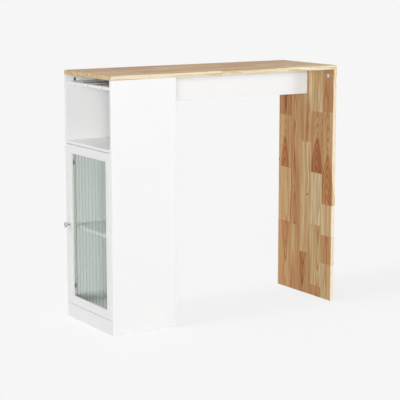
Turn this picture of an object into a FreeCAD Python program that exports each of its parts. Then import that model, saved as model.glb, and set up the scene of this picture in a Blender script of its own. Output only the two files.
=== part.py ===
"""Bar-height kitchen table with a storage cabinet under its left end.

A solid wood top lies flush on a white board cabinet at the left and on a solid
wood panel at the right. A white apron ties the two together under the top.
The cabinet opens to the left: a slotted rack for stemmed glasses, an open
compartment, and a lower compartment behind a framed, reeded-glass door that
swings on two pivot pins.

Millimetres. +X runs along the table from the cabinet to the wood panel, +Y to
the rear, +Z up. The origin lies on the floor, at the middle of the whole
object's outline, knob included.
"""

import FreeCAD, Part

import math
import os

from FreeCAD import Vector

# ---------------------------------------------------------------- the table
table_length = 1120.0
table_depth = 400.0
table_height = 1050.0
top_thickness = 18.0
end_panel_thickness = 18.0
wood_ease = 1.2

# -------------------------------------------------------------- the cabinet
cabinet_length = 300.0
board_thickness = 12.0
board_ease = 0.4
bottom_board_height = 60.0
compartment_height = 236.0
rack_headroom = 27.0
slot_width = 18.0
slot_length = 235.0
slot_spacing = 118.0
slot_count = 3
mouth_round = 5.0

# ----------------------------------------------------- the apron, under the top
apron_thickness = 18.0
apron_height = 118.0

# --------------------------------------------------------- the middle shelf
middle_shelf_height = 398.0
middle_shelf_setback = 30.0
middle_shelf_side_gap = 1.0
middle_shelf_back_gap = 2.0
shelf_pin_radius = 2.5
shelf_pin_in = 8.0
shelf_pin_out = 10.0
shelf_pin_inset = 45.0

# ------------------------------------------------------------------ the door
door_thickness = 16.0
door_gap = 2.0
frame_width = 37.0
frame_lip = 8.0
rebate_width = 7.0
frame_bevel = 1.0
frame_ease = 0.5
hinge_edge_round = 3.0
spline_thickness = 4.0
spline_length = 24.0
spline_in = 7.0

# ----------------------------------------------------------- the door's glass
glass_clearance = 1.0
glass_base = 3.2
flute_height = 1.4
flute_count = 11
clip_inset = 77.0
clip_length = 16.0
clip_width = 15.0
clip_plate = 1.6
clip_reach = 6.0
clip_play = 0.1
clip_toe_play = 0.5

# ------------------------------------------------------------ the door's pivots
pivot_from_face = 6.0
pin_radius = 2.5
pin_fit = 0.05
pin_in_door = 20.0
pin_in_bush = 8.0
bush_radius = 4.0
bush_depth = 9.0
flange_radius = 5.0
flange_play = 0.3

# -------------------------------------------------------------- the door's knob
knob_reach = 26.0
knob_head_radius = 12.0
knob_head_thickness = 8.0
knob_neck_radius = 4.0
knob_foot_radius = 6.0
knob_foot_thickness = 2.5
knob_rim = 1.5
knob_screw_radius = 2.0
knob_screw_in = 12.0
knob_screw_play = 0.5
knob_screw_head_radius = 4.0
knob_screw_head = 2.4

# --------------------------------------------------------- the magnetic catch
catch_length = 34.0
catch_width = 14.0
catch_height = 14.0
catch_gap = 0.4
magnet_length = 20.0
magnet_width = 7.0
magnet_height = 6.0
strike_length = 28.0
strike_height = 8.0
strike_thickness = 1.2

# ------------------------------------------- barbs, loose tongues and cams
fixing_fit = 0.05
barb_length = 10.0
barb_thickness = 2.0
barb_depth = 7.0
barb_end_play = 0.3
tongue_share = 3
tongue_in_end = 10.0
tongue_in_face = 6.0
tongue_end_play = 0.2
tongue_margin = 30.0
cam_radius_thin = 5.9
cam_radius_thick = 7.4
cam_distance_thin = 21.0
cam_distance_wood = 30.0
cam_below_axis = 4.0
cam_sunk = 0.2
cam_pocket_play = 0.1
cam_mouth = 3.3
cam_slot_length = 8.0
cam_slot_width = 1.6
cam_slot_depth = 1.4
cam_inset = 43.0
cam_inset_wood = 38.0
bolt_radius = 2.4
bolt_head_radius = 3.0
bolt_head_half = 2.0
bolt_hole_play = 0.4
bolt_in_top = 11.0
cap_radius = 8.75
cap_thickness = 1.6

# -------------------------- how far a cutting shape runs past what it cuts
past = 1.0

# ------------------------------------------------------- places worked out
left_x = -(table_length + knob_reach) / 2 + knob_reach
right_x = left_x + table_length
front_y = -table_depth / 2
rear_y = table_depth / 2
underside_z = table_height - top_thickness

cabinet_right_x = left_x + cabinet_length
back_panel_x = cabinet_right_x - board_thickness
inner_front_y = front_y + board_thickness
inner_rear_y = rear_y - board_thickness

rack_top_z = underside_z - rack_headroom
rack_bottom_z = rack_top_z - board_thickness
shelf_top_z = rack_bottom_z - compartment_height
shelf_bottom_z = shelf_top_z - board_thickness

door_back_x = left_x + door_thickness
door_front_y = inner_front_y + door_gap
door_rear_y = inner_rear_y - door_gap
door_bottom_z = bottom_board_height + door_gap
door_top_z = shelf_bottom_z - door_gap
glass_seat_x = left_x + frame_lip
glass_back_x = glass_seat_x + glass_base + flute_height

end_panel_x = right_x - end_panel_thickness
apron_bottom_z = underside_z - apron_height

pivot_x = left_x + pivot_from_face
pivot_y = door_front_y + pivot_from_face
knob_y = door_rear_y - frame_width / 2
knob_z = (door_bottom_z + door_top_z) / 2
catch_y = door_rear_y - frame_width - catch_length / 2

X = Vector(1, 0, 0)
Y = Vector(0, 1, 0)
Z = Vector(0, 0, 1)

pieces = {}
cuts = {}


# ------------------------------------------------------------ small helpers
def block(x0, x1, y0, y1, z0, z1):
    """A plain box between two corners."""
    return Part.makeBox(x1 - x0, y1 - y0, z1 - z0, Vector(x0, y0, z0))


def rod(start, direction, radius, length):
    """A round bar from a point along a direction."""
    return Part.makeCylinder(radius, length, start, direction)


def turned(points, start, axis, outward):
    """A turned piece. Each point is a distance along the axis and a radius."""
    places = [start + axis * along + outward * radius for along, radius in points]
    outline = Part.makePolygon(places + [places[0]])
    return Part.Face(outline).revolve(start, axis, 360)


def board(x0, x1, y0, y1, z0, z1):
    """A cut board with its edges just broken."""
    plain = block(x0, x1, y0, y1, z0, z1)
    return plain.makeChamfer(board_ease, plain.Edges)


def add(node, *solids):
    """Adds solids to a node."""
    pieces.setdefault(node, []).extend(solids)


def cut(node, *tools):
    """Remembers what is to be drilled or cut out of a node."""
    cuts.setdefault(node, []).extend(tools)


def placed(shape, origin, x_axis, z_axis):
    """Puts a shape modelled at the origin where its two axes say."""
    moved = shape.copy()
    turn = FreeCAD.Rotation(x_axis, z_axis.cross(x_axis), z_axis, "XZY")
    moved.Placement = FreeCAD.Placement(origin, turn)
    return moved


# ------------------------------------------------------ the wood top and panel
def make_top():
    """The top: one glued-up plank, its edges eased all round."""
    plank = block(left_x, right_x, front_y, rear_y, underside_z, table_height)
    add("tabletop", plank.makeChamfer(wood_ease, plank.Edges))


def make_end_panel():
    """The wood leg panel. Its upper end meets the top square."""
    plank = block(end_panel_x, right_x, front_y, rear_y, 0, underside_z)
    middle = underside_z / 2
    lower_and_upright = [e for e in plank.Edges if e.CenterOfMass.z < middle + past]
    add("end_panel", plank.makeChamfer(wood_ease, lower_and_upright))


# ------------------------------------------------------------ the white boards
def make_carcass():
    """The cabinet's fixed boards: two sides, back, bottom, plinth and shelf."""
    add("front_side_panel", board(left_x, cabinet_right_x, front_y, inner_front_y, 0, underside_z))
    add("rear_side_panel", board(left_x, cabinet_right_x, inner_rear_y, rear_y, 0, underside_z))
    add("back_panel", board(back_panel_x, cabinet_right_x, inner_front_y, inner_rear_y, 0, underside_z))
    floor_z = bottom_board_height - board_thickness
    plinth_back_x = left_x + board_thickness
    add("bottom_board", board(left_x, back_panel_x, inner_front_y, inner_rear_y, floor_z, bottom_board_height))
    add("plinth", board(left_x, plinth_back_x, inner_front_y, inner_rear_y, 0, floor_z))
    add("fixed_shelf", board(left_x, back_panel_x, inner_front_y, inner_rear_y, shelf_bottom_z, shelf_top_z))


def slot_places():
    """The middle line of each rack slot."""
    first = -slot_spacing * (slot_count - 1) / 2
    return [first + i * slot_spacing for i in range(slot_count)]


def make_rack():
    """The glass rack: a board with open-ended slots, their mouths rounded."""
    rack = board(left_x, back_panel_x, inner_front_y, inner_rear_y, rack_bottom_z, rack_top_z)
    half = slot_width / 2
    end_x = left_x + slot_length - half
    for y in slot_places():
        straight = block(left_x - past, end_x, y - half, y + half, rack_bottom_z - past, rack_top_z + past)
        round_end = rod(Vector(end_x, y, rack_bottom_z - past), Z, half, board_thickness + 2 * past)
        rack = rack.cut(straight.fuse(round_end))
    for y in slot_places():
        for side in (-1, 1):
            corner_y = y + side * half
            relief = block(
                left_x - past, left_x + mouth_round,
                min(corner_y, corner_y + side * mouth_round),
                max(corner_y, corner_y + side * mouth_round),
                rack_bottom_z - past, rack_top_z + past,
            )
            centre = Vector(left_x + mouth_round, corner_y + side * mouth_round, rack_bottom_z - past)
            rack = rack.cut(relief.cut(rod(centre, Z, mouth_round, board_thickness + 2 * past)))
    add("stemware_rack", rack)


def make_middle_shelf():
    """The loose shelf behind the door and the four pins that carry it."""
    front_x = left_x + middle_shelf_setback
    back_x = back_panel_x - middle_shelf_back_gap
    low_z = middle_shelf_height - board_thickness
    y0 = inner_front_y + middle_shelf_side_gap
    y1 = inner_rear_y - middle_shelf_side_gap
    add("middle_shelf", board(front_x, back_x, y0, y1, low_z, middle_shelf_height))
    pin_z = low_z - shelf_pin_radius
    for x in (front_x + shelf_pin_inset, back_x - shelf_pin_inset):
        for node, wall_y, inward in (
            ("front_side_panel", inner_front_y, Y),
            ("rear_side_panel", inner_rear_y, -Y),
        ):
            wall = Vector(x, wall_y, pin_z)
            pin = rod(wall - inward * shelf_pin_in, inward, shelf_pin_radius, shelf_pin_in + shelf_pin_out)
            add("shelf_pins", pin)
            cut(node, rod(wall - inward * shelf_pin_in, inward, shelf_pin_radius + fixing_fit, shelf_pin_in + past))


def make_apron():
    """The stretcher board between the cabinet and the wood panel."""
    half = apron_thickness / 2
    add("apron", board(cabinet_right_x, end_panel_x, -half, half, apron_bottom_z, underside_z))


# --------------------------------------------------- cams, bolts and tongues
def cam_solid(radius, height):
    """A cam standing on its pocket's floor. Its mouth faces +X, its slot is on top."""
    cam = Part.makeCylinder(radius, height)
    low = cam_below_axis - cam_mouth
    high = cam_below_axis + cam_mouth
    cam = cam.cut(block(-cam_mouth, radius + past, -cam_mouth, cam_mouth, low, high))
    long, wide = cam_slot_length / 2, cam_slot_width / 2
    slot_floor = height - cam_slot_depth
    return cam.cut(block(-long, long, -wide, wide, slot_floor, height + past))


def bolt_solid(distance, thread):
    """A cam bolt along +X: its thread lies beyond the joint, its head in the cam."""
    outline = [
        (thread, 0),
        (thread, bolt_radius),
        (-distance + bolt_head_half, bolt_radius),
        (-distance + bolt_head_half, bolt_head_radius),
        (-distance - bolt_head_half, bolt_head_radius),
        (-distance - bolt_head_half, 0),
    ]
    return turned(outline, Vector(0, 0, 0), X, Y)


def cam_joint(node, meet, face, thickness, radius, distance):
    """Draws the tabletop down on the upper end of a panel.

    meet is the point where the bolt crosses the joint, and face points out of
    the side of the panel that the cam is fitted from.
    """
    centre = meet - Z * distance
    floor = centre - face * cam_below_axis
    pocket_depth = thickness / 2 + cam_below_axis
    cut(node, rod(floor, face, radius + cam_pocket_play, pocket_depth + past))
    cut(node, rod(centre, Z, bolt_head_radius + bolt_hole_play, distance + past))
    cut("tabletop", rod(meet - Z * past, Z, bolt_radius + fixing_fit, bolt_in_top + past))
    add("cam_locks", placed(cam_solid(radius, pocket_depth - cam_sunk), floor, Z, face))
    add("cam_bolts", placed(bolt_solid(distance, bolt_in_top), meet, Z, face))


def tongue_joint(node, mate, meet, toward, along, length, thickness):
    """A loose tongue in matching grooves, from one board's end into another's face.

    meet is the middle of the joint, toward points into the mate, and the
    tongue is as long as length says in the direction along.
    """
    half_length = length / 2
    half_thick = thickness / tongue_share / 2
    play = tongue_end_play
    tongue = block(
        play - tongue_in_end, tongue_in_face - play,
        -half_thick, half_thick, play - half_length, half_length - play,
    )
    groove_thick = half_thick + fixing_fit
    groove_in_end = block(-tongue_in_end, past, -groove_thick, groove_thick, -half_length, half_length)
    groove_in_face = block(-past, tongue_in_face, -groove_thick, groove_thick, -half_length, half_length)
    add("loose_tongues", placed(tongue, meet, toward, along))
    cut(node, placed(groove_in_end, meet, toward, along))
    cut(mate, placed(groove_in_face, meet, toward, along))


def join_top():
    """Cams that draw the top down on the side panels and the wood panel."""
    half = board_thickness / 2
    for x in (left_x + cam_inset, cabinet_right_x - cam_inset):
        for node, y, face in (("front_side_panel", front_y + half, Y), ("rear_side_panel", rear_y - half, -Y)):
            meet = Vector(x, y, underside_z)
            cam_joint(node, meet, face, board_thickness, cam_radius_thin, cam_distance_thin)
    panel_x = end_panel_x + end_panel_thickness / 2
    for y in (front_y + cam_inset_wood, rear_y - cam_inset_wood):
        meet = Vector(panel_x, y, underside_z)
        cam_joint("end_panel", meet, -X, end_panel_thickness, cam_radius_thick, cam_distance_wood)
        centre = Vector(end_panel_x, y, underside_z - cam_distance_wood)
        add("cam_caps", rod(centre, -X, cap_radius, cap_thickness))


def join_apron():
    """A tongue at each end of the apron."""
    middle_z = apron_bottom_z + apron_height / 2
    length = apron_height - 2 * tongue_margin
    for mate, x, toward in (("back_panel", cabinet_right_x, -X), ("end_panel", end_panel_x, X)):
        tongue_joint("apron", mate, Vector(x, 0, middle_z), toward, Z, length, apron_thickness)


def join_boards():
    """Tongues that fix the cabinet's inner boards between its two sides."""
    half = board_thickness / 2
    middle_x = (left_x + back_panel_x) / 2
    depth = back_panel_x - left_x
    floor_z = bottom_board_height - board_thickness
    level_length = depth - 2 * tongue_margin
    upright_length = underside_z - 2 * tongue_margin
    plinth_length = floor_z - tongue_margin
    for side, y, toward in (("front_side_panel", inner_front_y, -Y), ("rear_side_panel", inner_rear_y, Y)):
        for node, top_z in (
            ("fixed_shelf", shelf_top_z),
            ("bottom_board", bottom_board_height),
            ("stemware_rack", rack_top_z),
        ):
            meet = Vector(middle_x, y, top_z - half)
            tongue_joint(node, side, meet, toward, X, level_length, board_thickness)
        meet = Vector(left_x + half, y, floor_z / 2)
        tongue_joint("plinth", side, meet, toward, Z, plinth_length, board_thickness)
        meet = Vector(back_panel_x + half, y, underside_z / 2)
        tongue_joint("back_panel", side, meet, toward, Z, upright_length, board_thickness)


# ------------------------------------------------------------------- the door
def mitred_part(ring, corners):
    """The stretch of the door frame that lies inside a four-cornered outline."""
    places = [Vector(left_x - past, y, z) for y, z in corners]
    wedge = Part.Face(Part.makePolygon(places + [places[0]])).extrude(X * (door_thickness + 2 * past))
    return ring.common(wedge)


def front_upright_edges(slab, y):
    """The upright edge of the door's front face that lies at y."""
    return [
        edge for edge in slab.Edges
        if math.isclose(edge.CenterOfMass.x, left_x) and math.isclose(edge.CenterOfMass.y, y)
    ]


def make_door_frame():
    """Four mitred members with a rebate behind for the glass."""
    y0, y1, z0, z1 = door_front_y, door_rear_y, door_bottom_z, door_top_z
    slab = block(left_x, door_back_x, y0, y1, z0, z1)
    slab = slab.makeFillet(hinge_edge_round, front_upright_edges(slab, y0))
    slab = slab.makeChamfer(frame_ease, front_upright_edges(slab, y1))

    oy0, oy1 = y0 + frame_width, y1 - frame_width
    oz0, oz1 = z0 + frame_width, z1 - frame_width
    opening = block(left_x - past, door_back_x + past, oy0, oy1, oz0, oz1)
    r = rebate_width
    rebate = block(glass_seat_x, door_back_x + past, oy0 - r, oy1 + r, oz0 - r, oz1 + r)

    def rim(x, spread):
        corners = [(oy0 - spread, oz0 - spread), (oy1 + spread, oz0 - spread),
                   (oy1 + spread, oz1 + spread), (oy0 - spread, oz1 + spread)]
        places = [Vector(x, y, z) for y, z in corners]
        return Part.makePolygon(places + [places[0]])

    bevel = Part.makeLoft([rim(left_x, frame_bevel), rim(left_x + frame_bevel, 0)], True)
    ring = slab.cut(opening).cut(rebate).cut(bevel)

    for z, up in ((z1, 1), (z0, -1)):
        start = Vector(pivot_x, pivot_y, z - up * pin_in_door)
        ring = ring.cut(rod(start, Z * up, pin_radius + fixing_fit, pin_in_door + past))
    screw_start = Vector(left_x - past, knob_y, knob_z)
    ring = ring.cut(rod(screw_start, X, knob_screw_radius + fixing_fit, door_thickness + 2 * past))

    w = frame_width
    corners = {
        "door_stile_hinge_side": [(y0, z0), (y0 + w, z0 + w), (y0 + w, z1 - w), (y0, z1)],
        "door_stile_knob_side": [(y1, z0), (y1 - w, z0 + w), (y1 - w, z1 - w), (y1, z1)],
        "door_rail_bottom": [(y0, z0), (y1, z0), (y1 - w, z0 + w), (y0 + w, z0 + w)],
        "door_rail_top": [(y0, z1), (y1, z1), (y1 - w, z1 - w), (y0 + w, z1 - w)],
    }
    for node, outline in corners.items():
        add(node, mitred_part(ring, outline))

    middle_x = (glass_seat_x + door_back_x) / 2
    half_thick = spline_thickness / 2
    half_length = spline_length / 2
    spline = block(-spline_in, spline_in, -half_thick, half_thick, -half_length, half_length)
    fit = fixing_fit
    groove = block(
        -spline_in - fit, spline_in + fit, -half_thick - fit, half_thick + fit,
        -half_length - fit, half_length + fit,
    )
    for y, inward_y, stile in ((y0, 1, "door_stile_hinge_side"), (y1, -1, "door_stile_knob_side")):
        for z, inward_z, rail in ((z0, 1, "door_rail_bottom"), (z1, -1, "door_rail_top")):
            in_frame = frame_width / 2
            centre = Vector(middle_x, y + inward_y * in_frame, z + inward_z * in_frame)
            across = Vector(0, inward_y, -inward_z).normalize()
            along = Vector(0, inward_y, inward_z).normalize()
            add("mitre_splines", placed(spline, centre, across, along))
            cut(stile, placed(groove, centre, across, along))
            cut(rail, placed(groove, centre, across, along))


def make_glass():
    """The pane: flat outside, with rounded vertical flutes on its inner side."""
    reach = frame_width - rebate_width + glass_clearance
    y0, y1 = door_front_y + reach, door_rear_y - reach
    z0, z1 = door_bottom_z + reach, door_top_z - reach
    valley_x = glass_seat_x + glass_base
    pitch = (y1 - y0) / flute_count
    lines = [
        Part.LineSegment(Vector(valley_x, y1, z0), Vector(glass_seat_x, y1, z0)),
        Part.LineSegment(Vector(glass_seat_x, y1, z0), Vector(glass_seat_x, y0, z0)),
        Part.LineSegment(Vector(glass_seat_x, y0, z0), Vector(valley_x, y0, z0)),
    ]
    for i in range(flute_count):
        start = y0 + i * pitch
        crest = Vector(valley_x + flute_height, start + pitch / 2, z0)
        lines.append(Part.Arc(Vector(valley_x, start, z0), crest, Vector(valley_x, start + pitch, z0)))
    outline = Part.Wire([line.toShape() for line in lines])
    add("door_glass", Part.Face(outline).extrude(Z * (z1 - z0)))


def barb(root, inward, along):
    """A flat barb pressed into wood, and the kerf that takes it."""
    half_long, half_thick, fit = barb_length / 2, barb_thickness / 2, fixing_fit
    blade = block(-half_thick, half_thick, -half_long, half_long, 0, barb_depth)
    kerf = block(
        -half_thick - fit, half_thick + fit, -half_long - fit, half_long + fit,
        -past, barb_depth + barb_end_play,
    )
    across = along.cross(inward)
    return placed(blade, root, across, inward), placed(kerf, root, across, inward)


def make_clips():
    """Moulded clips: a plate on the stile's back, a barb in it, a toe on the glass."""
    toe_depth = door_back_x - glass_back_x - clip_play
    rebate_edge = frame_width - rebate_width
    inner_edge = rebate_edge + clip_reach
    outer_edge = inner_edge - clip_width
    barb_at = (outer_edge + rebate_edge) / 2
    half = clip_length / 2
    plate = block(0, clip_plate, -half, half, outer_edge, inner_edge)
    toe = block(-toe_depth, clip_plate / 2, -half, half, rebate_edge + clip_toe_play, inner_edge)
    body = plate.fuse(toe)
    for node, y, inward in (("door_stile_hinge_side", door_front_y, Y), ("door_stile_knob_side", door_rear_y, -Y)):
        for z in (door_bottom_z + clip_inset, door_top_z - clip_inset):
            origin = Vector(door_back_x, y, z)
            blade, kerf = barb(origin + inward * barb_at, -X, Z)
            add("glass_clips", placed(body, origin, X, inward).fuse(blade).removeSplitter())
            cut(node, kerf)


def make_pivots():
    """Steel pins in the door's ends, turning in flanged bushes in the boards."""
    flange = door_gap - flange_play
    bore = pin_radius + pin_fit
    for node, face_z, up in (("fixed_shelf", shelf_bottom_z, 1), ("bottom_board", bottom_board_height, -1)):
        seat = Vector(pivot_x, pivot_y, face_z)
        into = Z * up
        outline = [
            (-flange, bore),
            (-flange, flange_radius),
            (0, flange_radius),
            (0, bush_radius),
            (bush_depth, bush_radius),
            (bush_depth, bore),
        ]
        add("pivot_bushes", turned(outline, seat, into, X))
        cut(node, rod(seat - into * past, into, bush_radius + fixing_fit, bush_depth + past))
        start = seat - into * (door_gap + pin_in_door)
        add("pivot_pins", rod(start, into, pin_radius, pin_in_door + door_gap + pin_in_bush))


def make_knob():
    """A turned knob: a foot, a tapered neck and a broad head, and its screw."""
    head_back = knob_reach - knob_head_thickness
    face_radius = knob_head_radius - knob_rim
    front = Vector(left_x, knob_y, knob_z)
    knob_outline = [
        (0, 0),
        (0, knob_foot_radius),
        (knob_foot_thickness, knob_foot_radius),
        (knob_foot_thickness, knob_neck_radius),
        (head_back, knob_foot_radius),
        (head_back, face_radius),
        (head_back + knob_rim, knob_head_radius),
        (knob_reach - knob_rim, knob_head_radius),
        (knob_reach, face_radius),
        (knob_reach, 0),
    ]
    hole_depth = knob_screw_in + knob_screw_play
    hole = rod(front + X * past, -X, knob_screw_radius + fixing_fit, hole_depth + past)
    add("door_knob", turned(knob_outline, front, -X, Z).cut(hole))

    back = Vector(door_back_x, knob_y, knob_z)
    screw_outline = [
        (-knob_screw_head, 0),
        (-knob_screw_head, knob_screw_head_radius),
        (0, knob_screw_head_radius),
        (0, knob_screw_radius),
        (door_thickness + knob_screw_in, knob_screw_radius),
        (door_thickness + knob_screw_in, 0),
    ]
    add("knob_screw", turned(screw_outline, back, -X, Z))


def make_catch():
    """A magnetic catch under the fixed shelf, and its plate on the door."""
    front_x = door_back_x + strike_thickness + catch_gap
    low_z = shelf_bottom_z - catch_height
    middle_z = low_z + catch_height / 2
    half = catch_length / 2
    magnet_half = magnet_length / 2
    housing = block(front_x, front_x + catch_width, catch_y - half, catch_y + half, low_z, shelf_bottom_z)
    magnet = block(
        front_x, front_x + magnet_width, catch_y - magnet_half, catch_y + magnet_half,
        middle_z - magnet_height / 2, middle_z + magnet_height / 2,
    )
    add("catch_magnet", magnet)
    blade, kerf = barb(Vector(front_x + catch_width / 2, catch_y, shelf_bottom_z), Z, Y)
    add("catch_housing", housing.cut(magnet).fuse(blade))
    cut("fixed_shelf", kerf)

    plate = block(
        door_back_x, door_back_x + strike_thickness, catch_y - strike_length / 2, catch_y + strike_length / 2,
        middle_z - strike_height / 2, middle_z + strike_height / 2,
    )
    blade, kerf = barb(Vector(door_back_x, catch_y, middle_z), -X, Y)
    add("strike_plate", plate.fuse(blade))
    cut("door_rail_top", kerf)


def finish():
    """Makes every cut, gathers each node's solids and writes its STEP file."""
    os.makedirs("parts", exist_ok=True)
    for node, solids in pieces.items():
        tools = cuts.get(node)
        if tools:
            solids = [solid.cut(tools) for solid in solids]
        loose = [solid for shape in solids for solid in shape.Solids]
        shape = loose[0] if len(loose) == 1 else Part.makeCompound(loose)
        shape.exportStep("parts/" + node + ".step")
        print(node, len(loose), "solids", round(shape.Volume), "mm3")


make_top()
make_end_panel()
make_carcass()
make_rack()
make_middle_shelf()
make_apron()
join_top()
join_apron()
join_boards()
make_door_frame()
make_glass()
make_clips()
make_pivots()
make_knob()
make_catch()
finish()
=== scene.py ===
import math

import bmesh
import bpy
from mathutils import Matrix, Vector


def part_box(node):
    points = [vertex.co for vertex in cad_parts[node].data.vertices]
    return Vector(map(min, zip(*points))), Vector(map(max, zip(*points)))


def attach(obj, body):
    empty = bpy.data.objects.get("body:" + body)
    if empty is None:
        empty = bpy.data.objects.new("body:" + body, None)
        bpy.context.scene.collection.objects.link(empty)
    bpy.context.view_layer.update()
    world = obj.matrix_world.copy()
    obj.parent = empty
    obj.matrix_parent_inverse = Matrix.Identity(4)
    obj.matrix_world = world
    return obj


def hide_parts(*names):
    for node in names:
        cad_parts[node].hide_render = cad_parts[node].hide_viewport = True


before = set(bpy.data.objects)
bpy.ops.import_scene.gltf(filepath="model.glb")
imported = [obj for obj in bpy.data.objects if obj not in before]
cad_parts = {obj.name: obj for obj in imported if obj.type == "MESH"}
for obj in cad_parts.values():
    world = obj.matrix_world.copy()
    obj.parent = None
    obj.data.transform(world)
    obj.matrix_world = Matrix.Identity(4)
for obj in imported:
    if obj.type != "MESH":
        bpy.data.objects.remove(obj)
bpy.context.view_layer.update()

# ---------------------------------------------------------------------------
# The room. The table stands on a plain pale floor in a white room that is
# brightest behind it. Two low soft lights stand in front and a higher one at
# the left. The camera is at the front left, a little above the tabletop.
# ---------------------------------------------------------------------------
camera_place = (-3.0989, -4.8674, 1.4763)
camera_heading = math.radians(32.437)
camera_pitch = math.radians(9.797)
camera_sensor = 36.0
camera_lens = 122.2
camera_reach = 500.0
room_white = 0.921
room_light_front = 0.34
room_light_rear = 0.90
# Each soft light's strength, then its direction in degrees: how far it stands
# to the left of straight in front, and how high.
soft_lights = {
    "front_left_light": (2.30, 30.0, 2.5),
    "front_right_light": (0.80, -20.0, 2.5),
    "left_light": (0.70, 92.0, 46.0),
}
light_softness = math.radians(16.0)
floor_half = 120.0
# The floor throws back this share of its light. What is seen of it is part
# paint and part glow, so that in full light it is as white as the room.
floor_bounce = 0.64
floor_seen = 0.25
floor_lit = 0.66
floor_glow = room_white - floor_seen * floor_lit


def put(tree, kind, sockets=None, **settings):
    """Adds a node and returns it. A socket takes a plain value or another node's output."""
    made = tree.nodes.new(kind)
    for name, value in settings.items():
        setattr(made, name, value)
    for name, value in (sockets or {}).items():
        if isinstance(value, bpy.types.NodeSocket):
            tree.links.new(value, made.inputs[name])
        else:
            made.inputs[name].default_value = value
    return made


def calc(tree, operation, *values):
    """One Math node's output."""
    return put(tree, "ShaderNodeMath", dict(enumerate(values)), operation=operation).outputs[0]


def looking_rays(tree):
    """1 for what the camera, a reflection or a look through glass sees, and 0 for light."""
    path = put(tree, "ShaderNodeLightPath").outputs
    looking = calc(tree, "MAXIMUM", path["Is Camera Ray"], path["Is Glossy Ray"])
    return calc(tree, "MAXIMUM", looking, path["Is Transmission Ray"])


def grey(value):
    """A neutral colour."""
    return (value, value, value, 1.0)


scene = bpy.context.scene
scene.view_settings.view_transform = "Standard"
camera_data = bpy.data.cameras.new("camera")
camera_data.sensor_width = camera_sensor
camera_data.lens = camera_lens
camera_data.clip_end = camera_reach
camera = bpy.data.objects.new("camera", camera_data)
camera.location = camera_place
camera.rotation_euler = (math.pi / 2 - camera_pitch, 0.0, -camera_heading)
scene.collection.objects.link(camera)
scene.camera = camera

room = bpy.data.worlds.new("white_room")
room.use_nodes = True
tree = room.node_tree
tree.nodes.clear()
toward = put(tree, "ShaderNodeSeparateXYZ", {
    "Vector": put(tree, "ShaderNodeTexCoord").outputs["Generated"],
}).outputs
to_rear = put(tree, "ShaderNodeMapRange", {
    "Value": toward["Y"], "From Min": 0.0, "From Max": 1.0,
    "To Min": room_light_front, "To Max": room_light_rear,
}).outputs["Result"]
room_light = put(tree, "ShaderNodeBackground", {"Color": grey(1.0), "Strength": to_rear})
backdrop = put(tree, "ShaderNodeBackground", {"Color": grey(1.0), "Strength": room_white})
room_mix = put(tree, "ShaderNodeMixShader", {
    0: looking_rays(tree), 1: room_light.outputs[0], 2: backdrop.outputs[0],
})
put(tree, "ShaderNodeOutputWorld", {"Surface": room_mix.outputs[0]})
scene.world = room

for name, (strength, to_left, height) in soft_lights.items():
    light_data = bpy.data.lights.new(name, "SUN")
    light_data.energy = strength
    light_data.angle = light_softness
    light = bpy.data.objects.new(name, light_data)
    light.rotation_euler = (math.radians(90.0 - height), 0.0, math.radians(-to_left))
    scene.collection.objects.link(light)

floor_shape = bmesh.new()
bmesh.ops.create_grid(floor_shape, x_segments=1, y_segments=1, size=floor_half)
floor_mesh = bpy.data.meshes.new("floor")
floor_shape.to_mesh(floor_mesh)
floor_shape.free()
floor = bpy.data.objects.new("floor", floor_mesh)
scene.collection.objects.link(floor)

floor_paint = bpy.data.materials.new("pale_floor")
floor_paint.use_nodes = True
tree = floor_paint.node_tree
tree.nodes.clear()
bounce = put(tree, "ShaderNodeBsdfDiffuse", {"Color": grey(floor_bounce)})
shade = put(tree, "ShaderNodeBsdfDiffuse", {"Color": grey(floor_seen)})
glow = put(tree, "ShaderNodeEmission", {"Color": grey(1.0), "Strength": floor_glow})
seen_floor = put(tree, "ShaderNodeAddShader", {0: shade.outputs[0], 1: glow.outputs[0]})
floor_mix = put(tree, "ShaderNodeMixShader", {
    0: looking_rays(tree), 1: bounce.outputs[0], 2: seen_floor.outputs[0],
})
put(tree, "ShaderNodeOutputMaterial", {"Surface": floor_mix.outputs[0]})
floor_mesh.materials.append(floor_paint)

# ---------------------------------------------------------------------------
# The cabinet's boards, the apron and the door's frame. They are of moisture-
# proof fibreboard, cut, eased on the edges and sprayed with a satin white
# lacquer, which keeps a very fine ripple and dries a little uneven.
# ---------------------------------------------------------------------------
white_boards = (
    "plinth", "bottom_board", "front_side_panel", "rear_side_panel", "back_panel", "fixed_shelf",
    "stemware_rack", "middle_shelf", "apron",
    "door_stile_hinge_side", "door_stile_knob_side", "door_rail_bottom", "door_rail_top",
)
# How fine the lacquer's marks are, in features per metre.
lacquer_clouds = 4.0
lacquer_haze = 55.0
lacquer_ripple = 420.0


def paint(red, green, blue):
    """A colour as a paint card gives it, from 0 to 255, made linear."""
    linear = []
    for value in (red, green, blue):
        share = value / 255.0
        linear.append(share / 12.92 if share <= 0.04045 else ((share + 0.055) / 1.055) ** 2.4)
    return (*linear, 1.0)


def new_material(name):
    """An empty material, and its node tree."""
    made = bpy.data.materials.new(name)
    made.use_nodes = True
    made.node_tree.nodes.clear()
    return made, made.node_tree


def object_place(tree):
    """The place on the piece, in metres."""
    return put(tree, "ShaderNodeTexCoord").outputs["Object"]


def noise(tree, place, scale, detail, roughness=0.5):
    """A soft noise from 0 to 1. Scale is in features per metre."""
    return put(tree, "ShaderNodeTexNoise", {
        "Vector": place, "Scale": scale, "Detail": detail, "Roughness": roughness,
    }).outputs["Fac"]


def rising(tree, pattern, least, spread):
    """A value that goes from least to least plus spread as a pattern goes from 0 to 1."""
    return calc(tree, "MULTIPLY_ADD", pattern, spread, least)


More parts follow.
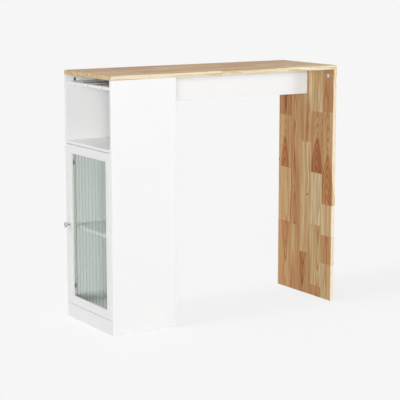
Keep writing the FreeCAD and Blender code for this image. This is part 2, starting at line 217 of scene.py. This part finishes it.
def mix(tree, factor, below, above, blend_type="MIX"):
    """One Mix node's colour."""
    made = put(tree, "ShaderNodeMix", data_type="RGBA", blend_type=blend_type)
    for socket, value in ((made.inputs[0], factor), (made.inputs[6], below), (made.inputs[7], above)):
        if isinstance(value, bpy.types.NodeSocket):
            tree.links.new(value, socket)
        else:
            socket.default_value = value
    return made.outputs[2]


def surface(tree, sockets, relief, relief_strength, relief_depth):
    """Ends a material in a Principled shader, with a relief in its surface."""
    raised = put(tree, "ShaderNodeBump", {
        "Height": relief, "Strength": relief_strength, "Distance": relief_depth,
    })
    shader = put(tree, "ShaderNodeBsdfPrincipled", {**sockets, "Normal": raised.outputs[0]})
    put(tree, "ShaderNodeOutputMaterial", {"Surface": shader.outputs[0]})


def dress(material, *nodes):
    """Gives solids of the frame their material."""
    for node in nodes:
        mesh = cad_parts[node].data
        mesh.materials.clear()
        mesh.materials.append(material)


fresh_white = paint(246, 246, 245)
thin_white = paint(241, 241, 241)

white_lacquer, tree = new_material("white_lacquer")
place = object_place(tree)
cloud = noise(tree, place, lacquer_clouds, detail=3.0)
haze = noise(tree, place, lacquer_haze, detail=2.0)
surface(
    tree,
    {
        "Base Color": mix(tree, cloud, fresh_white, thin_white),
        "Roughness": rising(tree, haze, least=0.30, spread=0.12),
        "Coat Weight": 0.1,
        "Coat Roughness": 0.2,
    },
    relief=noise(tree, place, lacquer_ripple, detail=1.0),
    relief_strength=0.06,
    relief_depth=0.0003,
)
dress(white_lacquer, *white_boards)

# ---------------------------------------------------------------------------
# The loose tongues between the boards, and the splines in the door's mitres.
# They are strips of bare birch plywood, glued into grooves on both sides.
# ---------------------------------------------------------------------------
ply_thickness = 0.0011
birch_fuzz = 160.0
birch_fuzz_share = 0.4
pale_ply = paint(226, 202, 160)
dark_ply = paint(206, 176, 130)
birch_fibre = paint(188, 152, 108)

birch, tree = new_material("birch_ply")
place = object_place(tree)
height = put(tree, "ShaderNodeSeparateXYZ", {"Vector": place}).outputs["Z"]
ply = calc(tree, "PINGPONG", height, ply_thickness)
fuzz = noise(tree, place, birch_fuzz, detail=4.0)
plies = mix(tree, calc(tree, "GREATER_THAN", ply, ply_thickness / 2), pale_ply, dark_ply)
surface(
    tree,
    {
        "Base Color": mix(tree, calc(tree, "MULTIPLY", fuzz, birch_fuzz_share), plies, birch_fibre),
        "Roughness": rising(tree, fuzz, least=0.55, spread=0.2),
    },
    relief=fuzz,
    relief_strength=0.15,
    relief_depth=0.0004,
)
dress(birch, "loose_tongues", "mitre_splines")

# ---------------------------------------------------------------------------
# The wood panel that stands in for legs at the right end. It is glued up from
# five upright staves of rubberwood, each of short lengths butted end to end,
# some pale sapwood and some with a red heart, under a clear satin finish.
# ---------------------------------------------------------------------------
panel_top = 1.05
panel_seams = (-0.128, -0.048, 0.033, 0.106)
sapwood, straw, honey, tan, brown, heartwood = 0.17, 0.25, 0.32, 0.39, 0.48, 0.62
# For each stave, from the front: its lengths from the floor up, each with its
# tone, how red its heart is, and the height in metres at which it ends.
panel_staves = (
    (
        (straw, 0.1, 0.162), (brown, 0.3, 0.289), (straw, 0.0, 0.430), (tan, 0.9, 0.845),
        (brown, 0.4, panel_top),
    ),
    (
        (brown, 0.2, 0.048), (straw, 0.3, 0.327), (sapwood, 0.0, 0.564), (brown, 1.3, 0.837),
        (straw, 0.3, panel_top),
    ),
    ((brown, 0.5, 0.188), (straw, 0.1, 0.698), (tan, 0.6, panel_top)),
    ((tan, 0.2, 0.306), (brown, 0.2, panel_top)),
    ((tan, 0.6, 0.311), (honey, 0.0, 0.563), (tan, 1.1, 0.805), (heartwood, 0.3, panel_top)),
)
# Each length's number, which gives it a figure of its own, steps on by these.
first_piece = 0.137
piece_per_stave = 0.371
piece_per_length = 0.233
# The middle stave's top length keeps its sapwood in front of sap_back.
sap_back = -0.018
sap_bottom = 0.698
sap_fade = 0.010
sap_tone = -0.20
# Each small dark knot's place on the panel: how far back, how high, and its radius.
panel_knots = ((-0.022, 0.458, 0.0048), (0.081, 0.483, 0.0036), (0.197, 0.592, 0.0060))
glue_line = 0.0004
glue_share = 0.45
edge_depth = 0.0006
# The front edge is paler by this tone: partly its edge grain, partly a painted sheen.
panel_edge_grain_and_sheen_tone = -0.45
glue = paint(122, 82, 52)
aged_finish = paint(248, 255, 250)
# What the wood throws onto the white boards is nearly neutral, as in a bright room.
thrown_light = paint(196, 194, 192)
thrown_share = 0.85

# How the trunk has grown. Lengths are in metres, and lean and taper are slopes.
pith_to_side = 0.032
pith_nearest, pith_farthest = 0.014, 0.032
pith_centring = -0.6
trunk_lean = 0.03
heart_taper = 0.14
upside_down_share = 0.36
face_wander, side_wander, ring_wander = 0.035, 0.020, 0.014
# The rings stand 7 mm apart, as a sine of this many radians to the metre.
ring_rate = 900.0
ring_sharpness = 2.0
heart_full, heart_gone = 0.001, 0.005
heart_rim_place, heart_rim_half = 0.0040, 0.0012
# How far apart in the noise two lengths of wood lie, along and across.
shift_along, shift_across = 61.0, 23.0
pore_from, pore_to = 0.60, 0.72
pore_share = 0.25
pore_relief, fibre_relief = -1.0, 0.6
heart_tone = 0.26
palest_streak = 0.09
edge_palest_share = 0.5
heart_blush_share, most_blush = 0.8, 0.4
blush = paint(255, 241, 228)
pore_brown = paint(150, 96, 60)
# The wood's colours, from the palest sapwood to the darkest heart.
wood_colours = (
    (0.00, paint(246, 235, 212)), (0.15, paint(221, 196, 150)), (0.28, paint(214, 178, 123)),
    (0.40, paint(207, 161, 108)), (0.52, paint(198, 144, 95)), (0.65, paint(187, 126, 78)),
    (0.80, paint(169, 104, 59)), (1.00, paint(122, 74, 40)),
)


def new_group(name, inputs, outputs):
    """An empty shader group and its inputs. Each socket is a name and a kind."""
    group = bpy.data.node_groups.new(name, "ShaderNodeTree")
    for direction, sockets in (("INPUT", inputs), ("OUTPUT", outputs)):
        for label, kind in sockets:
            group.interface.new_socket(
                name=label, in_out=direction, socket_type="NodeSocket" + kind,
            )
    return group, put(group, "NodeGroupInput").outputs


def ramp(tree, factor, stops):
    """A colour ramp. Each stop is a place from 0 to 1, and a colour."""
    made = put(tree, "ShaderNodeValToRGB", {0: factor})
    band = made.color_ramp
    while len(band.elements) < len(stops):
        band.elements.new(1.0)
    for element, (place, colour) in zip(band.elements, stops):
        element.position = place
        element.color = colour
    return made.outputs["Color"]


# One length of wood, in metres: Along its fibres from its middle, Across the
# stave from its middle, and Through from its face. Tone is 0 for the palest
# sapwood and 1 for the darkest heart. Piece differs from length to length.
group, given = new_group(
    "wood_grain",
    [("Along", "Float"), ("Across", "Float"), ("Through", "Float"),
     ("Tone", "Float"), ("Heart", "Float"), ("Piece", "Float")],
    [("Colour", "Color"), ("Roughness", "Float"), ("Relief", "Float")],
)


def chosen(low, high, draw):
    """A number between two limits that differs from one length of wood to the next."""
    chance = calc(group, "FRACT", calc(group, "MULTIPLY", given["Piece"], draw))
    return calc(group, "MULTIPLY_ADD", chance, high - low, low)


def fibre_noise(sideways, along, across, detail, roughness=0.5):
    """A noise drawn out along the fibres. Scales are in features per metre."""
    own_along = calc(group, "MULTIPLY", given["Piece"], shift_along)
    own_across = calc(group, "MULTIPLY", given["Piece"], shift_across)
    stretched = put(group, "ShaderNodeCombineXYZ", {
        "X": calc(group, "MULTIPLY_ADD", given["Along"], along, own_along),
        "Y": calc(group, "MULTIPLY_ADD", sideways, across, own_across),
        "Z": calc(group, "MULTIPLY", given["Through"], across),
    }).outputs[0]
    return noise(group, stretched, 1.0, detail, roughness)


wander = calc(group, "SUBTRACT", fibre_noise(given["Across"], along=4.0, across=14.0, detail=2.0), 0.5)
bent = calc(group, "MULTIPLY_ADD", wander, face_wander, given["Across"])
# The pith lies a little under the face, and runs out of it where there is heart.
centred = calc(group, "MULTIPLY_ADD", given["Heart"], pith_centring, 1.0)
off_middle = calc(group, "MULTIPLY", chosen(-pith_to_side, pith_to_side, draw=17.3), centred)
side = calc(group, "MULTIPLY_ADD", wander, side_wander, calc(group, "ADD", given["Across"], off_middle))
under_face = chosen(pith_nearest, pith_farthest, draw=11.7)
depth = calc(group, "ADD", given["Through"], under_face)
from_pith = calc(group, "MULTIPLY_ADD", side, side, calc(group, "MULTIPLY", depth, depth))
from_pith = calc(group, "SQRT", from_pith)
way_up = calc(group, "SIGN", chosen(-upside_down_share, 1.0 - upside_down_share, draw=7.0))
heart_lean = calc(group, "MULTIPLY", given["Heart"], heart_taper)
taper = calc(group, "MULTIPLY_ADD", heart_lean, way_up, chosen(-trunk_lean, trunk_lean, draw=5.9))
from_pith = calc(group, "MULTIPLY_ADD", taper, given["Along"], from_pith)
from_pith = calc(group, "MULTIPLY_ADD", wander, ring_wander, from_pith)
year = calc(group, "SINE", calc(group, "MULTIPLY", from_pith, ring_rate))
year = calc(group, "POWER", calc(group, "MULTIPLY_ADD", year, 0.5, 0.5), ring_sharpness)
past_face = calc(group, "SUBTRACT", from_pith, under_face)
in_heart = put(group, "ShaderNodeMapRange", {
    "Value": past_face, "From Min": heart_full, "From Max": heart_gone, "To Min": 1.0, "To Max": 0.0,
}, interpolation_type="SMOOTHSTEP").outputs["Result"]
in_heart = calc(group, "MULTIPLY", in_heart, given["Heart"])
heart_rim = calc(group, "COMPARE", past_face, heart_rim_place, heart_rim_half)
heart_rim = calc(group, "MULTIPLY", heart_rim, given["Heart"])
streak = fibre_noise(bent, along=1.8, across=60.0, detail=3.0, roughness=0.6)
fine_streak = fibre_noise(bent, along=5.0, across=240.0, detail=2.0, roughness=0.6)
fibre = fibre_noise(bent, along=20.0, across=900.0, detail=2.0, roughness=0.6)
pore = put(group, "ShaderNodeMapRange", {
    "Value": fibre_noise(bent, along=60.0, across=1500.0, detail=1.0),
    "From Min": pore_from, "From Max": pore_to,
}).outputs["Result"]
tone = calc(group, "MULTIPLY_ADD", in_heart, heart_tone, given["Tone"])
# Each pattern darkens the wood above its middle value, by its weight.
for pattern, middle, weight in (
    (year, 0.37, 0.22),
    (heart_rim, 0.0, 0.20),
    (streak, 0.5, 0.90),
    (fine_streak, 0.5, 0.60),
    (fibre, 0.5, 0.22),
):
    tone = calc(group, "MULTIPLY_ADD", calc(group, "SUBTRACT", pattern, middle), weight, tone)
# Only the edges, whose own tone is low for their edge grain and a painted sheen, go paler than the
# faces' palest streaks.
palest = calc(group, "MULTIPLY", given["Tone"], edge_palest_share)
palest = calc(group, "MINIMUM", palest_streak, palest)
tone = calc(group, "MAXIMUM", tone, palest)
colour = ramp(group, tone, wood_colours)
heart_blush = calc(group, "MULTIPLY", in_heart, heart_blush_share)
blushing = calc(group, "MAXIMUM", heart_blush, chosen(0.0, most_blush, draw=7.7))
colour = mix(group, blushing, colour, blush, "MULTIPLY")
colour = mix(group, calc(group, "MULTIPLY", pore, pore_share), colour, pore_brown, "MULTIPLY")
raised_fibre = calc(group, "MULTIPLY", fibre, fibre_relief)
put(group, "NodeGroupOutput", {
    "Colour": colour,
    "Roughness": rising(group, fibre, least=0.38, spread=0.14),
    "Relief": calc(group, "MULTIPLY_ADD", pore, pore_relief, raised_fibre),
})
wood_grain = group


def wood_surface(tree, along, across, through, tone, heart, piece, seam, aged):
    """Ends a material as jointed wood. The arguments are outputs of its own nodes."""
    grain = put(tree, "ShaderNodeGroup", {
        "Along": along, "Across": across, "Through": through,
        "Tone": tone, "Heart": heart, "Piece": piece,
    }, node_tree=wood_grain)
    glued = mix(tree, calc(tree, "MULTIPLY", seam, glue_share), grain.outputs["Colour"], glue)
    glued = mix(tree, aged, glued, aged_finish, "MULTIPLY")
    thrown = put(tree, "ShaderNodeLightPath").outputs["Is Diffuse Ray"]
    surface(
        tree,
        {
            "Base Color": mix(tree, calc(tree, "MULTIPLY", thrown, thrown_share), glued, thrown_light),
            "Roughness": grain.outputs["Roughness"],
            "Specular IOR Level": 0.3,
        },
        relief=grain.outputs["Relief"],
        relief_strength=0.12,
        relief_depth=0.0004,
    )


panel_wood, tree = new_material("jointed_wood_panel")
place = put(tree, "ShaderNodeSeparateXYZ", {"Vector": object_place(tree)}).outputs
low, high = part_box("end_panel")
stave_edges = (low.y, *panel_seams, high.y)
for stave, lengths in enumerate(panel_staves):
    starts = [0.0] + [end for tone, heart, end in lengths[:-1]]
    own_middle = lengths[0][2] / 2
    nearest_seam = panel_seams[min(stave, len(panel_seams) - 1)]
    own_seam = calc(tree, "COMPARE", place["Y"], nearest_seam, glue_line)
    for step, (start, (tone, heart, end)) in enumerate(zip(starts, lengths)):
        piece = math.fmod(first_piece + stave * piece_per_stave + step * piece_per_length, 1.0)
        if step == 0:
            own_figure = (tone, heart, piece, 1.0)
            continue
        joint = calc(tree, "COMPARE", place["Z"], start, glue_line)
        own_seam = calc(tree, "MAXIMUM", own_seam, joint)
        above = calc(tree, "GREATER_THAN", place["Z"], start)
        own_figure = mix(tree, above, own_figure, (tone, heart, piece, 1.0))
        own_middle = calc(tree, "MULTIPLY_ADD", above, (end - starts[step - 1]) / 2, own_middle)
    stave_middle = (stave_edges[stave] + stave_edges[stave + 1]) / 2
    own_across = calc(tree, "SUBTRACT", place["Y"], stave_middle)
    if stave == 0:
        figure, middle, across, seam = own_figure, own_middle, own_across, own_seam
        continue
    behind = calc(tree, "GREATER_THAN", place["Y"], stave_edges[stave])
    figure = mix(tree, behind, figure, own_figure)
    middle = calc(tree, "MULTIPLY_ADD", behind, calc(tree, "SUBTRACT", own_middle, middle), middle)
    across = calc(tree, "MULTIPLY_ADD", behind, calc(tree, "SUBTRACT", own_across, across), across)
    seam = calc(tree, "MULTIPLY_ADD", behind, calc(tree, "SUBTRACT", own_seam, seam), seam)
figure = put(tree, "ShaderNodeSeparateColor", {"Color": figure}).outputs
tone = figure["Red"]
for knot_back, knot_height, knot_radius in panel_knots:
    from_knot = put(tree, "ShaderNodeVectorMath", {
        0: object_place(tree), 1: (low.x, knot_back, knot_height),
    }, operation="DISTANCE").outputs["Value"]
    tone = calc(tree, "ADD", tone, calc(tree, "LESS_THAN", from_knot, knot_radius))
# The front edge's tone is lowered so it is paler: partly edge grain, partly a painted sheen.
edge_grain_and_sheen_mask = calc(tree, "LESS_THAN", place["Y"], low.y + edge_depth)
sap_side = put(tree, "ShaderNodeMapRange", {
    "Value": place["Y"],
    "From Min": sap_back - sap_fade, "From Max": sap_back,
    "To Min": 1.0, "To Max": 0.0,
}, interpolation_type="SMOOTHSTEP").outputs["Result"]
sap_side = calc(tree, "MULTIPLY", sap_side, calc(tree, "GREATER_THAN", place["Y"], panel_seams[1]))
sap_side = calc(tree, "MULTIPLY", sap_side, calc(tree, "GREATER_THAN", place["Z"], sap_bottom))
tone = calc(tree, "MULTIPLY_ADD", sap_side, sap_tone, tone)
wood_surface(
    tree,
    along=calc(tree, "SUBTRACT", place["Z"], middle),
    across=across,
    through=calc(tree, "SUBTRACT", place["X"], low.x),
    tone=calc(tree, "MULTIPLY_ADD", edge_grain_and_sheen_mask, panel_edge_grain_and_sheen_tone, tone),
    heart=figure["Green"],
    piece=figure["Blue"],
    seam=seam,
    aged=0.0,
)
dress(panel_wood, "end_panel")

# ---------------------------------------------------------------------------
# The tabletop. It is glued up from the same wood as the panel, its five staves
# lying along the table. Its front edge and left end are paler and show less
# heart: partly their edge grain, partly a painted sheen.
# ---------------------------------------------------------------------------
top_stave_width = 0.08
top_piece_length = 0.34
# How far the joints of one stave can lie from the next one's, in lengths.
top_stagger = 7.0
top_tone, top_tone_spread, top_tone_per_stave = 0.235, 0.16, 0.035
top_heart_draw = 29.0
top_heart_share = 0.5
# How much paler the front edge and the left end are: partly edge grain, partly painted sheen.
top_front_grain_and_sheen_paling, top_end_grain_and_sheen_paling = -0.85, -0.45

top_wood, tree = new_material("jointed_wood_top")
place = put(tree, "ShaderNodeSeparateXYZ", {"Vector": object_place(tree)}).outputs
low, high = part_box("tabletop")
inside_y = calc(tree, "MAXIMUM", place["Y"], low.y + edge_depth)
inside_y = calc(tree, "MINIMUM", inside_y, high.y - edge_depth)
staves_back = calc(tree, "DIVIDE", calc(tree, "SUBTRACT", inside_y, low.y), top_stave_width)
stave = calc(tree, "FLOOR", staves_back)
in_stave = calc(tree, "SUBTRACT", calc(tree, "FRACT", staves_back), 0.5)
offset = put(tree, "ShaderNodeTexWhiteNoise", {"W": stave}, noise_dimensions="1D").outputs["Value"]
lengths_along = calc(tree, "DIVIDE", place["X"], top_piece_length)
pieces_along = calc(tree, "ADD", lengths_along, calc(tree, "MULTIPLY", offset, top_stagger))
number = calc(tree, "FLOOR", pieces_along)
in_piece = calc(tree, "SUBTRACT", calc(tree, "FRACT", pieces_along), 0.5)
piece = put(tree, "ShaderNodeTexWhiteNoise", {
    "Vector": put(tree, "ShaderNodeCombineXYZ", {"X": stave, "Y": number}).outputs[0],
}, noise_dimensions="2D").outputs["Value"]
heart = calc(tree, "FRACT", calc(tree, "MULTIPLY", piece, top_heart_draw))
tone = rising(tree, piece, least=top_tone, spread=top_tone_spread)
tone = calc(tree, "MULTIPLY_ADD", stave, top_tone_per_stave, tone)
# The front edge and the left end are paler and lose their heart: partly edge grain, partly a painted
# sheen.
edge_grain_and_sheen_mask = calc(tree, "LESS_THAN", place["Y"], low.y + edge_depth)
end_grain_and_sheen_mask = calc(tree, "LESS_THAN", place["X"], low.x + edge_depth)
edge_grain_and_sheen_keep = calc(tree, "MULTIPLY_ADD", end_grain_and_sheen_mask, top_end_grain_and_sheen_paling, 1.0)
edge_grain_and_sheen_keep = calc(tree, "MULTIPLY_ADD", edge_grain_and_sheen_mask, top_front_grain_and_sheen_paling, edge_grain_and_sheen_keep)
seam = calc(
    tree, "MAXIMUM",
    calc(tree, "COMPARE", calc(tree, "ABSOLUTE", in_stave), 0.5, glue_line / top_stave_width),
    calc(tree, "COMPARE", calc(tree, "ABSOLUTE", in_piece), 0.5, glue_line / top_piece_length),
)
wood_surface(
    tree,
    along=calc(tree, "MULTIPLY", in_piece, top_piece_length),
    across=calc(tree, "MULTIPLY", in_stave, top_stave_width),
    through=calc(tree, "SUBTRACT", high.z, place["Z"]),
    tone=calc(tree, "MULTIPLY", tone, edge_grain_and_sheen_keep),
    heart=calc(tree, "MULTIPLY", calc(tree, "MULTIPLY", heart, top_heart_share), edge_grain_and_sheen_keep),
    piece=piece,
    seam=seam,
    aged=edge_grain_and_sheen_keep,
)
dress(top_wood, "tabletop")

# ---------------------------------------------------------------------------
# The metal fittings: steel shelf pins, cam bolts, pivot pins, the knob's screw
# and the catch's plate, all bright zinc-plated, and cams of die-cast zinc, which
# is duller. The bolts screw into the top, and the cams draw them down.
# ---------------------------------------------------------------------------
tarnish_spots = 90.0
tarnish_share = 0.16
scratch_stretch = (400.0, 400.0, 4000.0)
metal_relief_depth = 0.0002
metal_grime = paint(92, 93, 96)
zinc_plate = paint(190, 192, 196)
cast_zinc = paint(122, 123, 125)

group, given = new_group(
    "metal_surface",
    [("Metal", "Color"), ("Polish", "Float"), ("Spread", "Float")],
    [("Colour", "Color"), ("Roughness", "Float"), ("Relief", "Float")],
)
place = object_place(group)
tarnish = noise(group, place, tarnish_spots, detail=3.0)
scratched = put(group, "ShaderNodeVectorMath", {0: place, 1: scratch_stretch}, operation="MULTIPLY")
scratches = noise(group, scratched.outputs[0], 1.0, detail=2.0)
put(group, "NodeGroupOutput", {
    "Colour": mix(group, calc(group, "MULTIPLY", tarnish, tarnish_share), given["Metal"], metal_grime),
    "Roughness": calc(group, "MULTIPLY_ADD", tarnish, given["Spread"], given["Polish"]),
    "Relief": scratches,
})
metal_surface = group


def metal(name, colour, polish, spread, scratch_strength):
    """A metal. Polish is how rough it is at the least, and spread how much more it can be."""
    made, tree = new_material(name)
    look = put(tree, "ShaderNodeGroup", {
        "Metal": colour, "Polish": polish, "Spread": spread,
    }, node_tree=metal_surface)
    surface(
        tree,
        {
            "Base Color": look.outputs["Colour"],
            "Roughness": look.outputs["Roughness"],
            "Metallic": 1.0,
        },
        relief=look.outputs["Relief"],
        relief_strength=scratch_strength,
        relief_depth=metal_relief_depth,
    )
    return made


plated_steel = metal("zinc_plated_steel", zinc_plate, polish=0.22, spread=0.18, scratch_strength=0.10)
dress(plated_steel, "shelf_pins", "cam_bolts", "pivot_pins", "knob_screw", "strike_plate")
dress(metal("die_cast_zinc", cast_zinc, polish=0.38, spread=0.20, scratch_strength=0.15), "cam_locks")

# ---------------------------------------------------------------------------
# The moulded fittings: white caps over the panel's cams, grey clips that hold
# the glass, nylon bushes for the pivot pins and the catch's white housing.
# Each keeps the faint matt grain of its mould.
# ---------------------------------------------------------------------------
mould_drift = 70.0
mould_grain = 1800.0
mould_relief_depth = 0.0002
mould_shade = paint(228, 228, 226)
white_plastic = paint(246, 246, 245)
grey_plastic = paint(140, 145, 143)
natural_nylon = paint(232, 229, 218)

group, given = new_group(
    "moulded_surface",
    [("Plastic", "Color"), ("Matt", "Float")],
    [("Colour", "Color"), ("Roughness", "Float"), ("Relief", "Float")],
)
place = object_place(group)
drift = noise(group, place, mould_drift, detail=2.0)
grit = noise(group, place, mould_grain, detail=1.0)
deeper = mix(group, 1.0, given["Plastic"], mould_shade, "MULTIPLY")
put(group, "NodeGroupOutput", {
    "Colour": mix(group, drift, given["Plastic"], deeper),
    "Roughness": rising(group, grit, least=given["Matt"], spread=0.14),
    "Relief": grit,
})
moulded_surface = group


def plastic(name, colour, matt, grain_strength):
    """A moulded plastic, from its colour and how matt it is."""
    made, tree = new_material(name)
    look = put(tree, "ShaderNodeGroup", {"Plastic": colour, "Matt": matt}, node_tree=moulded_surface)
    surface(
        tree,
        {"Base Color": look.outputs["Colour"], "Roughness": look.outputs["Roughness"]},
        relief=look.outputs["Relief"],
        relief_strength=grain_strength,
        relief_depth=mould_relief_depth,
    )
    return made


white_mouldings = plastic("white_plastic", white_plastic, matt=0.26, grain_strength=0.05)
dress(white_mouldings, "cam_caps", "catch_housing")
dress(plastic("grey_plastic", grey_plastic, matt=0.40, grain_strength=0.10), "glass_clips")
dress(plastic("nylon", natural_nylon, matt=0.45, grain_strength=0.08), "pivot_bushes")

# ---------------------------------------------------------------------------
# The door's pane. It is pale green-grey cast glass, flat outside and fluted
# inside, so what stands behind it shows only as soft upright stripes.
# ---------------------------------------------------------------------------
flute_count = 11
glass_ripple = 30.0
glass_tint_crest_painted_bright = paint(238, 242, 239)
glass_tint_between_crests = paint(215, 227, 220)
glass_shadow = paint(247, 250, 248)

fluted_glass, tree = new_material("fluted_glass")
place = object_place(tree)
low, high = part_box("door_glass")
flute_rate = math.pi * flute_count / (high.y - low.y)
sideways = put(tree, "ShaderNodeSeparateXYZ", {"Vector": place}).outputs["Y"]
half_turns = calc(tree, "MULTIPLY", calc(tree, "SUBTRACT", sideways, low.y), flute_rate)
crest = calc(tree, "ABSOLUTE", calc(tree, "SINE", half_turns))
ripple = noise(tree, place, glass_ripple, detail=2.0)
# The tint goes paler along each flute's crest: painted bright stripes.
pane = put(tree, "ShaderNodeBsdfPrincipled", {
    "Base Color": mix(tree, crest, glass_tint_between_crests, glass_tint_crest_painted_bright),
    "Roughness": rising(tree, ripple, least=0.13, spread=0.04),
    "IOR": 1.12,
    "Transmission Weight": 1.0,
})
# Light that only passes through on its way to the boards goes straight on.
clear = put(tree, "ShaderNodeBsdfTransparent", {"Color": glass_shadow})
path = put(tree, "ShaderNodeLightPath").outputs
as_light = calc(tree, "MAXIMUM", path["Is Shadow Ray"], path["Is Diffuse Ray"])
pane_mix = put(tree, "ShaderNodeMixShader", {0: as_light, 1: pane.outputs[0], 2: clear.outputs[0]})
put(tree, "ShaderNodeOutputMaterial", {"Surface": pane_mix.outputs[0]})
dress(fluted_glass, "door_glass")

# ---------------------------------------------------------------------------
# The door's knob. It is turned from brass and chrome-plated: a foot, a waisted
# neck and a broad head with a rounded rim and a shallow dome. One screw through
# the stile holds it.
# ---------------------------------------------------------------------------
foot_share = 0.50
foot_thickness = 0.0022
foot_round = 0.0005
waist_share = 0.31
throat_share = 0.42
# Below 1, the waist is at its narrowest nearer to the foot than to the head.
waist_lean = 0.7
waist_steps = 10
rim_radius = 0.0030
rim_steps = 8
dome_rise = 0.0014
dome_steps = 6
turning_steps = 64
weld_distance = 1e-6
chrome = paint(196, 197, 200)

low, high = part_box("door_knob")
knob_foot = Vector((high.x, (low.y + high.y) / 2, (low.z + high.z) / 2))
knob_reach = high.x - low.x
head_radius = (high.y - low.y) / 2
head_flat = head_radius - rim_radius
foot_radius = head_radius * foot_share
throat = head_radius * throat_share
waist = head_radius * waist_share
neck_end = knob_reach - dome_rise - 2 * rim_radius

# The outline, as pairs of the distance out from the door and the radius.
outline = [
    (0.0, 0.0),
    (0.0, foot_radius),
    (foot_thickness - foot_round, foot_radius),
    (foot_thickness, foot_radius - foot_round),
]
for step in range(waist_steps + 1):
    share = step / waist_steps
    narrowing = math.sin(math.pi * share ** waist_lean)
    out = foot_thickness + share * (neck_end - foot_thickness)
    outline.append((out, throat - (throat - waist) * narrowing))
for step in range(rim_steps + 1):
    turn = math.pi * (step / rim_steps - 0.5)
    out = neck_end + rim_radius * (1 + math.sin(turn))
    outline.append((out, head_flat + rim_radius * math.cos(turn)))
for step in range(1, dome_steps + 1):
    share = step / dome_steps
    outline.append((knob_reach - dome_rise * (1 - share) ** 2, head_flat * (1 - share)))

knob_shape = bmesh.new()
corners = [knob_shape.verts.new(knob_foot + Vector((-out, 0.0, radius))) for out, radius in outline]
edges = [knob_shape.edges.new(pair) for pair in zip(corners, corners[1:])]
bmesh.ops.spin(
    knob_shape, geom=corners + edges, cent=knob_foot, axis=(1.0, 0.0, 0.0),
    angle=math.tau, steps=turning_steps, use_merge=True,
)
bmesh.ops.remove_doubles(knob_shape, verts=knob_shape.verts, dist=weld_distance)
bmesh.ops.recalc_face_normals(knob_shape, faces=knob_shape.faces)
for face in knob_shape.faces:
    face.smooth = True
knob_mesh = bpy.data.meshes.new("turned_knob")
knob_shape.to_mesh(knob_mesh)
knob_shape.free()
knob_mesh.materials.append(
    metal("polished_chrome", chrome, polish=0.05, spread=0.10, scratch_strength=0.02),
)
knob = bpy.data.objects.new("turned_knob", knob_mesh)
scene.collection.objects.link(knob)
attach(knob, "door")
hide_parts("door_knob")

# ---------------------------------------------------------------------------
# The catch's magnet. It is a block of pressed ferrite, near black and gritty,
# held in the housing under the fixed shelf.
# ---------------------------------------------------------------------------
ferrite_grit = 1400.0
ferrite_black = paint(38, 38, 41)
ferrite_grey = paint(66, 66, 70)

ferrite, tree = new_material("ferrite")
grit = noise(tree, object_place(tree), ferrite_grit, detail=3.0)
surface(
    tree,
    {
        "Base Color": mix(tree, grit, ferrite_black, ferrite_grey),
        "Roughness": rising(tree, grit, least=0.45, spread=0.25),
        "Metallic": 0.4,
    },
    relief=grit,
    relief_strength=0.20,
    relief_depth=0.0003,
)
dress(ferrite, "catch_magnet")
